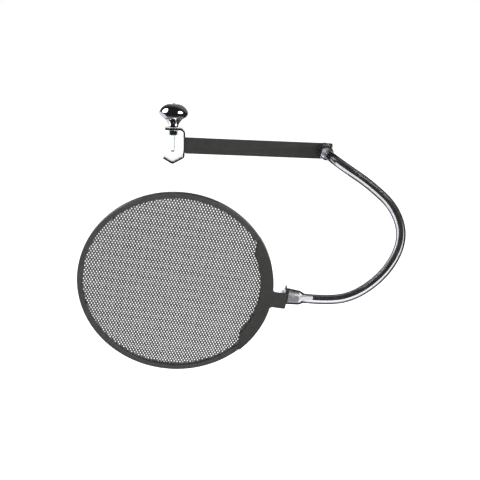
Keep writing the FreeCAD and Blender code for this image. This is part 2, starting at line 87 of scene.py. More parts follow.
def axes(origin, along_z, along_x):
    """Matrix of a local frame from its origin, Z axis and X axis."""
    along_y = along_z.cross(along_x)
    turn = Matrix((along_x, along_y, along_z)).transposed().to_4x4()
    return Matrix.Translation(origin) @ turn


def screen_place():
    """Local frame of the screen: Z out of its face, towards the talker, and X along the tab."""
    faces = frame["nodes"]["screen_mesh"].data.polygons
    normal = max(faces, key=lambda face: face.area).normal.copy()
    if normal.y > 0:
        normal.negate()
    origin = middle("screen_mesh")
    tab = middle("neck_tip_washer") - origin
    tab -= normal * tab.dot(normal)
    return axes(origin, normal, tab.normalized())


# ---------------------------------------------------------------- outlines, in millimetres


def rounded(corners, step=12.0, closed=True):
    """Points of an outline with corners (x, y, radius), its arcs divided every step degrees."""
    spots = [(Vector(corner[:2]), corner[2] if len(corner) > 2 else 0.0) for corner in corners]
    points = []
    for i, (spot, radius) in enumerate(spots):
        if not radius or (not closed and i in (0, len(spots) - 1)):
            points.append(spot)
            continue
        back = (spots[i - 1][0] - spot).normalized()
        ahead = (spots[(i + 1) % len(spots)][0] - spot).normalized()
        half = back.angle(ahead) / 2
        hub = spot + (back + ahead).normalized() * (radius / math.sin(half))
        start = spot + back * (radius / math.tan(half)) - hub
        turn = start.angle_signed(spot + ahead * (radius / math.tan(half)) - hub)
        count = max(2, round(abs(math.degrees(turn)) / step))
        for k in range(count + 1):
            spin = Matrix.Rotation(-turn * k / count, 2)
            points.append(hub + spin @ start)
    return points


def arc(start, through, end, count):
    """Points on the circle through three (x, y) points, without the last one."""
    a, b, c = Vector(start), Vector(through), Vector(end)
    ab, ac = b - a, c - a
    cross = 2 * (ab.x * ac.y - ab.y * ac.x)
    hub = a + Vector(
        (
            (ac.y * ab.length_squared - ab.y * ac.length_squared) / cross,
            (ab.x * ac.length_squared - ac.x * ab.length_squared) / cross,
        )
    )
    turn = (a - hub).angle_signed(b - hub) + (b - hub).angle_signed(c - hub)
    return [hub + Matrix.Rotation(-turn * k / count, 2) @ (a - hub) for k in range(count)]


# ---------------------------------------------------------------- mesh builders


def new_mesh(name, points, faces, place=None, sharp=SHARP):
    """Mesh object from points in millimetres: smooth, with edges over sharp degrees kept crisp."""
    mesh = bpy.data.meshes.new(name)
    mesh.from_pydata([tuple(Vector(p) * MM) for p in points], [], faces)
    work = bmesh.new()
    work.from_mesh(mesh)
    bmesh.ops.remove_doubles(work, verts=work.verts, dist=1e-6)
    bmesh.ops.recalc_face_normals(work, faces=work.faces)
    work.to_mesh(mesh)
    work.free()
    if place is not None:
        mesh.transform(place)
    mesh.shade_smooth()
    mesh.set_sharp_from_angle(angle=math.radians(sharp))
    piece = bpy.data.objects.new(name, mesh)
    bpy.context.collection.objects.link(piece)
    return piece


def skin_rows(rows, closed_rows, closed_across):
    """Quads between rows of equally many points."""
    count, width = len(rows), len(rows[0])
    faces = []
    for i in range(count if closed_rows else count - 1):
        for k in range(width if closed_across else width - 1):
            here, there = i * width, ((i + 1) % count) * width
            following = (k + 1) % width
            faces.append((here + k, here + following, there + following, there + k))
    return faces


def lathe(name, outline, place, around=64, closed=False, sides=None, sharp=SHARP, gap=0.0):
    """Turned piece from (radius, height) points, open over gap radians.

    sides lists the points whose ring is a hexagon.
    """
    span = 2 * math.pi - gap
    count = around + 1 if gap else around
    rows = []
    for k in range(count):
        angle = gap / 2 + span * k / around
        row = []
        for i, (radius, height) in enumerate(outline):
            reach = radius
            if sides and i in sides:
                reach = radius / math.cos((angle + math.pi / 6) % (math.pi / 3) - math.pi / 6)
            row.append((reach * math.cos(angle), reach * math.sin(angle), height))
        rows.append(row)
    points = [p for row in rows for p in row]
    faces = skin_rows(rows, not gap, closed)
    if gap:
        width = len(outline)
        faces += [tuple(range(width)), tuple(range((count - 1) * width, count * width))]
    return new_mesh(name, points, faces, place, sharp)


def fuse_meshes(name, pieces):
    """Joins pieces that have no parent yet into one."""
    work = bmesh.new()
    for piece in pieces:
        work.from_mesh(piece.data)
    mesh = bpy.data.meshes.new(name)
    work.to_mesh(mesh)
    work.free()
    for piece in pieces:
        bpy.data.objects.remove(piece)
    mesh.shade_smooth()
    mesh.set_sharp_from_angle(angle=math.radians(SHARP))
    joined = bpy.data.objects.new(name, mesh)
    bpy.context.collection.objects.link(joined)
    return joined


def plate(name, outlines, thick, edge=0.15):
    """Points and faces of a flat plate with softened edges: one outer outline, the rest holes."""
    curve = bpy.data.curves.new(name, "CURVE")
    curve.dimensions, curve.fill_mode = "2D", "BOTH"
    curve.extrude = (thick / 2 - edge) * MM
    curve.bevel_depth, curve.bevel_resolution = edge * MM, 1
    for outline in outlines:
        spline = curve.splines.new("POLY")
        spline.points.add(len(outline) - 1)
        inset = inset_outline(outline, edge if outline is outlines[0] else -edge)
        for point, (x, y) in zip(spline.points, inset):
            point.co = (x * MM, y * MM, 0, 1)
        spline.use_cyclic_u = True
    holder = bpy.data.objects.new(name, curve)
    mesh = bpy.data.meshes.new_from_object(holder)
    bpy.data.objects.remove(holder)
    work = bmesh.new()
    work.from_mesh(mesh)
    bmesh.ops.remove_doubles(work, verts=work.verts, dist=2e-6)
    bmesh.ops.recalc_face_normals(work, faces=work.faces)
    points = [v.co / MM for v in work.verts]
    work.verts.index_update()
    faces = [[v.index for v in face.verts] for face in work.faces]
    work.free()
    return points, faces


def inset_outline(outline, depth):
    """The outline moved inwards by depth, so that the bevel brings it back to its size."""
    points = [Vector(p) for p in outline]
    area = sum(a.x * b.y - b.x * a.y for a, b in zip(points, points[1:] + points[:1]))
    turn = 1 if area > 0 else -1
    moved = []
    for i, here in enumerate(points):
        into, out = (here - points[i - 1]).normalized(), (points[(i + 1) % len(points)] - here)
        out.normalize()
        normals = [Vector((-way.y, way.x)) * turn for way in (into, out)]
        mitre = (normals[0] + normals[1]).normalized()
        moved.append(here + mitre * (depth / max(mitre.dot(normals[0]), 0.3)))
    return moved


def ribbon(name, path, width, thick, edge, place):
    """Bent strip with softened edges: path is its middle line in local XY, width is along Z."""
    line = [Vector(p) for p in path]
    half_w, half_t = width / 2, thick / 2
    corners = [(-half_t, -half_w), (half_t, -half_w), (half_t, half_w), (-half_t, half_w)]
    section = rounded([(*corner, edge) for corner in corners], 30)
    rows = []
    for i, here in enumerate(line):
        into = (here - line[i - 1]).normalized() if i else None
        out = (line[i + 1] - here).normalized() if i + 1 < len(line) else None
        ways = [way for way in (into, out) if way is not None]
        normals = [Vector((-way.y, way.x)) for way in ways]
        mitre = (normals[0] + normals[-1]).normalized()
        mitre /= mitre.dot(normals[0])
        rows.append([(here.x + mitre.x * t, here.y + mitre.y * t, w) for t, w in section])
    faces = skin_rows(rows, False, True)
    count = len(section)
    faces += [tuple(range(count)), tuple(range((len(rows) - 1) * count, len(rows) * count))]
    return new_mesh(name, [p for row in rows for p in row], faces, place, SHEET_SHARP)


def bent_path(corners, step=9.0, guard=0.4):
    """Open middle line with rounded corners and a guard point beside each arc for clean shading."""
    points = rounded(corners, step, closed=False)
    line = [points[0]]
    for before, after in zip(points, points[1:]):
        length = (after - before).length
        if length > 4 * guard:
            way = (after - before).normalized()
            line += [before + way * guard, after - way * guard]
        line.append(after)
    return line


def dress(piece, mat, body, slot, *nodes):
    """Gives a piece its material and body, and hides the CAD nodes it stands for; slot is not used.
    """
    piece.data.materials.clear()
    piece.data.materials.append(mat)
    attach(piece, body)
    if nodes:
        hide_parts(*nodes)
    return piece


# ---------------------------------------------------------------- materials

MARKS_MM, CLOUD_MM, PEEL_MM, VINYL_MM = 0.4, 5.0, 0.35, 1.5


def shader(name):
    """New node material: returns it with its tree, Principled shader and object coordinates."""
    mat = bpy.data.materials.new(name)
    mat.use_nodes = True
    tree = mat.node_tree
    main = tree.nodes["Principled BSDF"]
    coords = tree.nodes.new("ShaderNodeTexCoord").outputs["Object"]
    return mat, tree, main, coords


def noise(tree, coords, size_mm, detail=3.0):
    """Noise whose grains are size_mm across."""
    made = tree.nodes.new("ShaderNodeTexNoise")
    made.inputs["Scale"].default_value = 1.0 / (size_mm * MM)
    made.inputs["Detail"].default_value = detail
    tree.links.new(coords, made.inputs["Vector"])
    return made.outputs["Fac"]


def spread(tree, value, low, high):
    """Maps the middle of a noise's range to low..high."""
    made = tree.nodes.new("ShaderNodeMapRange")
    made.inputs["From Min"].default_value, made.inputs["From Max"].default_value = 0.3, 0.7
    made.inputs["To Min"].default_value, made.inputs["To Max"].default_value = low, high
    tree.links.new(value, made.inputs["Value"])
    return made.outputs["Result"]


def tint(tree, value, dark, light):
    """Colour between dark and light by a noise."""
    made = tree.nodes.new("ShaderNodeMix")
    made.data_type = "RGBA"
    made.inputs[6].default_value, made.inputs[7].default_value = (*dark, 1), (*light, 1)
    tree.links.new(spread(tree, value, 0, 1), made.inputs[0])
    return made.outputs[2]


def bump(tree, main, height, depth_mm):
    """Bumps depth_mm deep on a shader, from a height between 0 and 1."""
    made = tree.nodes.new("ShaderNodeBump")
    made.inputs["Distance"].default_value = depth_mm * MM
    made.inputs["Strength"].default_value = 1.0
    tree.links.new(height, made.inputs["Height"])
    tree.links.new(made.outputs["Normal"], main.inputs["Normal"])


def metal(name, dark, light, rough, grain_mm=6.0, metallic=1.0):
    """Plated or bare metal: cloudy colour, uneven polish and fine handling marks."""
    mat, tree, main, coords = shader(name)
    main.inputs["Metallic"].default_value = metallic
    colour = tint(tree, noise(tree, coords, grain_mm), dark, light)
    tree.links.new(colour, main.inputs["Base Color"])
    marks = noise(tree, coords, MARKS_MM, 4.0)
    tree.links.new(spread(tree, marks, *rough), main.inputs["Roughness"])
    return mat


def enamel(name, dark, light, rough, bump_mm=0.012):
    """Baked enamel or powder coat: faint cloudiness and an orange-peel skin."""
    mat, tree, main, coords = shader(name)
    main.inputs["Specular IOR Level"].default_value = 0.5
    colour = tint(tree, noise(tree, coords, CLOUD_MM), dark, light)
    tree.links.new(colour, main.inputs["Base Color"])
    peel = noise(tree, coords, PEEL_MM, 2.0)
    tree.links.new(spread(tree, peel, *rough), main.inputs["Roughness"])
    bump(tree, main, peel, bump_mm)
    return mat


def clear_vinyl(name):
    """Clear glossy tube wall: see-through face on, mirror-like at a glancing angle."""
    mat, tree, main, coords = shader(name)
    tree.nodes.remove(main)
    gloss = tree.nodes.new("ShaderNodeBsdfGlossy")
    gloss.inputs["Color"].default_value = (0.95, 0.95, 0.97, 1)
    polish = spread(tree, noise(tree, coords, VINYL_MM), 0.03, 0.09)
    tree.links.new(polish, gloss.inputs["Roughness"])
    through = tree.nodes.new("ShaderNodeBsdfTransparent")
    through.inputs["Color"].default_value = (0.90, 0.90, 0.91, 1)
    facing = tree.nodes.new("ShaderNodeLayerWeight")
    facing.inputs["Blend"].default_value = 0.20
    mix = tree.nodes.new("ShaderNodeMixShader")
    tree.links.new(facing.outputs["Fresnel"], mix.inputs["Fac"])
    tree.links.new(through.outputs["BSDF"], mix.inputs[1])
    tree.links.new(gloss.outputs["BSDF"], mix.inputs[2])
    tree.links.new(mix.outputs["Shader"], tree.nodes["Material Output"].inputs["Surface"])
    return mat


NICKEL = metal("nickel_plate", (0.78, 0.78, 0.78), (0.88, 0.88, 0.87), (0.05, 0.14))
CHROME = metal("knob_chrome", (0.60, 0.60, 0.62), (0.70, 0.70, 0.72), (0.03, 0.07))
ZINC = metal(
    "screw_steel", (0.70, 0.78, 0.80), (0.84, 0.90, 0.92), (0.40, 0.52), grain_mm=2.0, metallic=0.6
)
BRASS = metal("brass_tip", (0.60, 0.44, 0.20), (0.74, 0.58, 0.30), (0.20, 0.34), grain_mm=1.5)
FERRULE = metal(
    "ferrule_satin", (0.58, 0.58, 0.59), (0.70, 0.70, 0.71), (0.28, 0.38), metallic=0.8
)
SPRING = enamel(
    "neck_steel", (0.0130, 0.0120, 0.0110), (0.0190, 0.0178, 0.0165), (0.30, 0.42), bump_mm=0.004
)
BARE = metal(
    "neck_steel_bare",
    (0.62, 0.62, 0.61),
    (0.74, 0.74, 0.73),
    (0.30, 0.42),
    grain_mm=2.0,
    metallic=0.45,
)
BLACK = enamel("black_enamel", (0.0105, 0.0105, 0.0097), (0.0135, 0.0135, 0.0124), (0.34, 0.44))
PLATE = enamel("plate_enamel", (0.0130, 0.0130, 0.0122), (0.0158, 0.0158, 0.0149), (0.36, 0.46))
RIM = enamel(
    "rim_enamel", (0.017, 0.017, 0.0167), (0.022, 0.022, 0.0216), (0.18, 0.26), bump_mm=0.006
)
MESH = enamel(
    "mesh_enamel", (0.036, 0.036, 0.036), (0.050, 0.050, 0.050), (0.34, 0.46), bump_mm=0.004
)
WASHER = enamel("washer_black", (0.006, 0.006, 0.006), (0.009, 0.009, 0.009), (0.30, 0.45))
VINYL = clear_vinyl("clear_sleeve")


# ---------------------------------------------------------------- clamp

STRIP_THICK, STRIP_WIDTH, STRIP_EDGE = 1.5, 12.7, 0.22
STAND_RADIUS, VEE_SLOPE, VEE_REACH = 8.0, math.radians(30), 7.2
WALL_INNER, LEG_REACH, LEG_UNDER, LEG_BEND, VEE_BEND = 8.1, 6.5, 16.15, 3.25, 1.75
BOSS_HEIGHT, BOSS_BORE, BOSS_RADIUS, COLLAR_RADIUS = 4.35, 2.05, 4.0, 3.75
ARM_MIDDLE, ARM_THICK, ARM_HEIGHT, ARM_CORNER = 4.8, 2.0, 12.7, 1.0
EAR_HEIGHT, EAR_END, EAR_BEND = 12.6, 26.0, 0.5
PITCH, THREAD_DEPTH, THREAD_RADIUS = 0.7, 0.36, 2.0
PIP_LOW, PIP_TOP, PIP_RADIUS = 35.6, 37.0, 1.5
TIP_LOW, TIP_HIGH, TIP_RADIUS, STEM_TOP, STEM_RADIUS = -1.73, -0.53, 1.6, 2.3, 0.97
CLAMP_FRONT = -STRIP_WIDTH / 2
UPRIGHT = axes(Vector(), -Y, X)


def block(name, low, high):
    """Plain block between two corners, used as a cutter."""
    xs, ys, zs = zip(low, high)
    corners = [(x, y, z) for x in xs for y in ys for z in zs]
    faces = [(0, 1, 3, 2), (4, 6, 7, 5), (0, 4, 5, 1), (2, 3, 7, 6), (0, 2, 6, 4), (1, 5, 7, 3)]
    return new_mesh(name, corners, faces)


def carve(piece, tool, operation):
    """Applies a boolean with tool, which is used up."""
    cut = piece.modifiers.new(operation.lower(), "BOOLEAN")
    cut.operation, cut.solver, cut.object = operation, "EXACT", tool
    bpy.context.view_layer.update()
    seen = piece.evaluated_get(bpy.context.evaluated_depsgraph_get())
    result = bpy.data.meshes.new_from_object(seen)
    piece.modifiers.clear()
    piece.data = result
    result.shade_smooth()
    result.set_sharp_from_angle(angle=math.radians(SHEET_SHARP))
    bpy.data.objects.remove(tool)


def clamp_bracket():
    """Nickel-plated strip: top leg, wall and V, and the ear folded out to carry the arm."""
    wall = WALL_INNER + STRIP_THICK / 2
    vee = -(STAND_RADIUS + STRIP_THICK / 2) / math.cos(VEE_SLOPE)
    leg = LEG_UNDER + STRIP_THICK / 2
    corners = [
        (-LEG_REACH, leg),
        (wall, leg, LEG_BEND),
        (wall, vee + wall * math.tan(VEE_SLOPE), VEE_BEND),
        (0.0, vee, VEE_BEND),
        (-VEE_REACH, vee + VEE_REACH * math.tan(VEE_SLOPE)),
    ]
    path = bent_path(corners)
    strip = ribbon("bracket_strip", path, STRIP_WIDTH, STRIP_THICK, STRIP_EDGE, UPRIGHT)
    front, bend = CLAMP_FRONT + STRIP_THICK / 2, EAR_BEND + STRIP_THICK / 2
    low, high = ARM_MIDDLE - EAR_HEIGHT / 2, ARM_MIDDLE + EAR_HEIGHT / 2
    clear = CLAMP_FRONT + STRIP_THICK + EAR_BEND
    relief_low = (WALL_INNER - 1, CLAMP_FRONT - 1, low)
    relief = block("relief", relief_low, (WALL_INNER + STRIP_THICK + 1, clear, high))
    carve(strip, relief, "DIFFERENCE")
    fold = [(wall, 0.0), (wall, front, bend), (EAR_END, front)]
    flat = Matrix.Translation(Z * ARM_MIDDLE * MM)
    # A hair smaller than its opening and the strip, so that no faces coincide in the union.
    ear = ribbon("ear", bent_path(fold), EAR_HEIGHT - 0.02, STRIP_THICK - 0.004, STRIP_EDGE, flat)
    carve(strip, ear, "UNION")
    dress(strip, NICKEL, "clamp", "nickel_plate", "clamp_bracket")


def clamp_boss():
    """Threaded boss under the top leg, with a staked collar."""
    top, low = LEG_UNDER, LEG_UNDER - BOSS_HEIGHT
    outline = rounded(
        [
            (BOSS_BORE, low, 0.25),
            (BOSS_RADIUS, low, 0.35),
            (BOSS_RADIUS, top - 0.7, 0.15),
            (COLLAR_RADIUS, top - 0.55, 0),
            (COLLAR_RADIUS, top, 0),
            (BOSS_BORE, top, 0),
        ]
    )
    boss = lathe("boss", outline, Matrix(), 64, closed=True)
    dress(boss, NICKEL, "clamp", "nickel_plate", "clamp_boss")


def clamp_screw():
    """Rolled thread with rounded crests, and the peened pip that shows on top of the knob."""
    low, high, around, per_turn = -0.5, 18.4, 40, 10
    steps = round((high - low) / PITCH * per_turn)
    rows = []
    for i in range(steps + 1):
        height = low + (high - low) * i / steps
        lead = min(1.0, (height - low) / PITCH)
        row = []
        for k in range(around):
            angle = 2 * math.pi * k / around
            phase = (height / PITCH - k / around) % 1.0
            crest = math.sin(math.pi * phase) ** 0.8
            radius = THREAD_RADIUS - THREAD_DEPTH * (1 - crest) - 0.25 * (1 - lead)
            row.append((radius * math.cos(angle), radius * math.sin(angle), height))
        rows.append(row)
    faces = skin_rows(rows, False, True)
    faces += [tuple(range(around)), tuple(range(steps * around, (steps + 1) * around))]
    thread = new_mesh("screw_thread", [p for row in rows for p in row], faces, sharp=60)
    dress(thread, ZINC, "knob", "screw_steel", "clamp_screw")
    pip_corners = [(0, PIP_LOW), (PIP_RADIUS, PIP_LOW), (PIP_RADIUS, PIP_TOP, 0.9), (0, PIP_TOP)]
    pip = lathe("screw_pip", rounded(pip_corners), Matrix(), 48)
    dress(pip, CHROME, "knob", "knob_chrome")


def screw_tip():
    """Brass tip that swivels on the screw's lower end."""
    outline = rounded(
        [
            (0, TIP_LOW),
            (TIP_RADIUS, TIP_LOW, 0.4),
            (TIP_RADIUS, TIP_HIGH, 0.15),
            (STEM_RADIUS, TIP_HIGH),
            (STEM_RADIUS, STEM_TOP),
            (0, STEM_TOP),
        ]
    )
    tip = lathe("thrust_tip", outline, Matrix(), 48)
    dress(tip, BRASS, "thrust_tip", "brass_tip", "screw_tip")


KNOB_LOW, KNOB_TOP, KNOB_RADIUS, KNOB_NECK, KNOB_GROOVE = 18.2, 36.3, 11.8, 4.0, 0.15


def clamp_knob():
    """Mushroom knob: flared underside, a thin band at its widest and a shallow dome."""
    height = KNOB_TOP - KNOB_LOW

    def share(of_radius, of_height):
        """Point at a share of the knob's radius and height."""
        return (of_radius * KNOB_RADIUS, KNOB_LOW + of_height * height)

    neck_top = (KNOB_NECK, share(0, 0.06)[1])
    band_low, band_high = share(1.0, 0.60), share(1.0, 0.66)
    outline = [(0, KNOB_LOW), (KNOB_NECK - 0.3, KNOB_LOW), (KNOB_NECK, KNOB_LOW + 0.3)]
    outline += arc(neck_top, share(0.50, 0.25), share(0.76, 0.40), 14)
    outline += arc(share(0.76, 0.40), share(0.935, 0.50), band_low, 12)
    edge, low = band_low
    groove = edge - KNOB_GROOVE
    outline += [band_low, (groove, low + 0.1), (groove, low + 0.25), (edge, low + 0.35)]
    outline += [(band_high[0], band_high[1] - 0.2)]
    outline += arc(band_high, share(0.66, 0.915), (1.6, KNOB_TOP), 26)
    outline += [(1.6, KNOB_TOP), (0, KNOB_TOP - 0.05)]
    knob = lathe("knob_dome", outline, Matrix(), 96)
    dress(knob, CHROME, "knob", "knob_chrome", "clamp_knob")


# ---------------------------------------------------------------- arm

ARM_START, ARM_END, FITTING_INSET = 10.0, 128.2, 6.3
RIVET_HEAD, RIVET_SHANK, RIVET_TAIL, RIVET_FIRST, RIVET_PITCH = 3.0, 1.6, 2.6, 15.0, 6.0


def circle(x, y, radius, count=40):
    """Closed outline of a round hole."""
    angles = [2 * math.pi * k / count for k in range(count)]
    return [(x + radius * math.cos(a), y + radius * math.sin(a)) for a in angles]


def arm():
    """Flat enamelled bar with flush rivets at the clamp end and the gooseneck's bolt hole."""
    low, high = ARM_MIDDLE - ARM_HEIGHT / 2, ARM_MIDDLE + ARM_HEIGHT / 2
    outline = rounded(
        [
            (ARM_START, low, 0.2),
            (ARM_END, low, ARM_CORNER),
            (ARM_END, high, ARM_CORNER),
            (ARM_START, high, 0.2),
        ]
    )
    hole = circle(ARM_END - FITTING_INSET, ARM_MIDDLE, BOLT_HOLE)
    points, faces = plate("bar", [outline, hole], ARM_THICK, 0.18)
    place = axes(Vector((0, (CLAMP_FRONT - ARM_THICK / 2) * MM, 0)), -Y, X)
    bar = new_mesh("arm_flat", points, faces, place, SHEET_SHARP)
    dress(bar, BLACK, "clamp", "black_enamel", "arm_bar")
    back = -ARM_THICK - STRIP_THICK
    head = [(0, 0.05), (2.0, 0.035), (RIVET_HEAD - 0.15, 0.01), (RIVET_HEAD, -0.05)]
    shank = [(RIVET_SHANK, -1.4), (RIVET_SHANK, back)]
    tail = [(RIVET_TAIL, back), (RIVET_TAIL, back - 0.35)]
    tail += [(RIVET_SHANK, back - 0.9), (0, back - 0.9)]
    made = []
    for x in (RIVET_FIRST, RIVET_FIRST + RIVET_PITCH):
        spot = axes(Vector((x, CLAMP_FRONT - ARM_THICK, ARM_MIDDLE)) * MM, -Y, X)
        made.append(lathe("rivet", head + shank + tail, spot, 40))
    dress(fuse_meshes("arm_rivet_pair", made), BLACK, "clamp", "black_enamel", "arm_rivets")


# ---------------------------------------------------------------- gooseneck end fittings

WASHER_THICK, BACK_WASHER, FRONT_WASHER, BOLT_HOLE = 1.0, 6.6, 6.1, 2.2
BOLT_HEAD, BOLT_HEAD_HEIGHT, BOLT_SHANK, BOLT_REACH = 4.4, 2.6, 2.0, 5.2
DRIVE_RADIUS, DRIVE_DEPTH = 1.6, 1.5
FERRULE_FOOT, FERRULE_MOUTH, FERRULE_LENGTH = 6.0, 5.2, 9.0
SOCKET, SOCKET_DEPTH, SOCKET_GAP = 2.05, 4.3, 0.1
MOUNT_THICK = 1.0


def end_fitting(end, body, place, held):
    """Bolt, washers and ferrule on a plate held thick, whose outer face is local Z = 0."""
    foot, mouth = WASHER_THICK, WASHER_THICK + FERRULE_LENGTH
    under = -held - WASHER_THICK

    def washer(name, low, radius, mat, slot, node):
        """Flat ring round the bolt, from a height up."""
        high = low + WASHER_THICK
        bore = [(BOLT_HOLE, low, 0.1), (BOLT_HOLE, high, 0.1)]
        ring = rounded([bore[0], (radius, low, 0.25), (radius, high, 0.25), bore[1]], 30)
        dress(lathe(name, ring, place, 64, closed=True), mat, body, slot, node)

    rear, front = f"neck_{end}_back_washer", f"neck_{end}_washer"
    washer(f"{end}_rear_washer", under, BACK_WASHER, NICKEL, "nickel_plate", rear)
    washer(f"{end}_front_washer", 0.0, FRONT_WASHER, WASHER, "black_washer", front)

    top = under - BOLT_HEAD_HEIGHT
    head = rounded(
        [
            (0, top + DRIVE_DEPTH, 0),
            (DRIVE_RADIUS, top + DRIVE_DEPTH, 0),
            (DRIVE_RADIUS, top + 0.12, 0),
            (DRIVE_RADIUS + 0.2, top, 0),
            (BOLT_HEAD, top, 1.3),
            (BOLT_HEAD, under, 0.1),
            (BOLT_SHANK, under, 0),
            (BOLT_SHANK, BOLT_REACH, 0),
            (0, BOLT_REACH, 0),
        ]
    )
    bolt = lathe(f"{end}_bolt", head, place, 48, sides=(1, 2))
    dress(bolt, ZINC, body, "screw_steel", f"neck_{end}_bolt")

    shell = rounded(
        [
            (BOLT_SHANK, foot, 0),
            (FERRULE_FOOT, foot, 0.3),
            (FERRULE_MOUTH, mouth, 0.6),
            (SOCKET, mouth, 0.4),
            (SOCKET, mouth - SOCKET_DEPTH, 0),
            (BOLT_SHANK, mouth - SOCKET_DEPTH, 0),
        ]
    )
    ferrule = lathe(f"{end}_ferrule", shell, place, 64, closed=True)
    dress(ferrule, FERRULE, body, "knob_chrome", f"neck_{end}_ferrule")


def fitting_place(end, along_z, along_x):
    """Frame of an end fitting: its front washer's middle is half a washer above the plate."""
    return axes(middle(f"neck_{end}_washer") - along_z * WASHER_THICK / 2 * MM, along_z, along_x)


# ---------------------------------------------------------------- gooseneck

BASE_REACH = 23.75
CORE_LOW, CORE_HIGH, RIB_PITCH, BARE_END = 1.65, 1.95, 1.9, 15.5
SLEEVE_BORE, SLEEVE_RADIUS, SLEEVE_WALL, SLEEVE_LAP, SLEEVE_TAPER = 3.1, 3.8, 0.5, 0.05, 5.2
HANG_FROM, HANG_TO, HANG_GAP, BEND_SHARE = 6.0, 16.0, 0.05, 0.92
LINE_STEP, LAP_STEP, STOP_EVERY, CORE_AROUND, SLEEVE_AROUND = 0.19, 0.5, 4, 24, 32


def neck_line(base, tip):
    """Centre line of the gooseneck, in millimetres, and its joints.

    A joint is the middle of each run between corners, so each corner mirrors the last one
    across it. The curve is a quadratic through the joints, pulled by the corners.
    """
    joints = [Vector(j["pos_m"]) / MM for j in frame["joints"] if j["name"].startswith("neck_")]
    floor = WASHER_THICK + FERRULE_LENGTH - SOCKET_DEPTH + SOCKET_GAP
    start, end = [(place @ Vector((0, 0, floor * MM))) / MM for place in (base, tip)]
    corners = [(base @ Vector((0, 0, BASE_REACH * MM))) / MM]
    for joint in joints:
        corners.append(2 * joint - corners[-1])
    stations = [start, *joints, end]
    line, marks = [], []
    for a, corner, b in zip(stations, corners, stations[1:]):
        marks.append(len(line))
        span = (corner - a).length + (b - corner).length
        count = round(span / LINE_STEP)
        for k in range(count):
            t = k / count
            line.append(a * (1 - t) ** 2 + corner * 2 * t * (1 - t) + b * t**2)
    marks.append(len(line))
    line.append(end)
    return line, marks, joints


def carry_frames(line):
    """Unit direction, and a side vector turned as little as possible, at each point of a line."""
    ways = []
    for i in range(len(line)):
        ways.append((line[min(i + 1, len(line) - 1)] - line[max(i - 1, 0)]).normalized())
    side = ways[0].cross(Z).normalized()
    sides = []
    for way in ways:
        side = (side - way * side.dot(way)).normalized()
        sides.append(side)
    return list(zip(ways, sides))


def tube_row(centre, way, side, radii):
    """Ring of points round centre, one for each radius."""
    other = way.cross(side)
    count = len(radii)
    row = []
    for k, radius in enumerate(radii):
        angle = 2 * math.pi * k / count
        row.append(centre + side * (radius * math.cos(angle)) + other * (radius * math.sin(angle)))
    return row


def bend_over(piece, mat, slot, number, joint, way, reach, nodes):
    """Gives a span its material, bakes its transform and hides the CAD nodes it stands for; number,
    joint, way, reach and slot are not used.
    """
    piece.data.materials.append(mat)
    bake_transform(piece)
    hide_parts(*nodes)


def ease(t):
    """Smooth step from 0 to 1."""
    return 3 * t * t - 2 * t**3


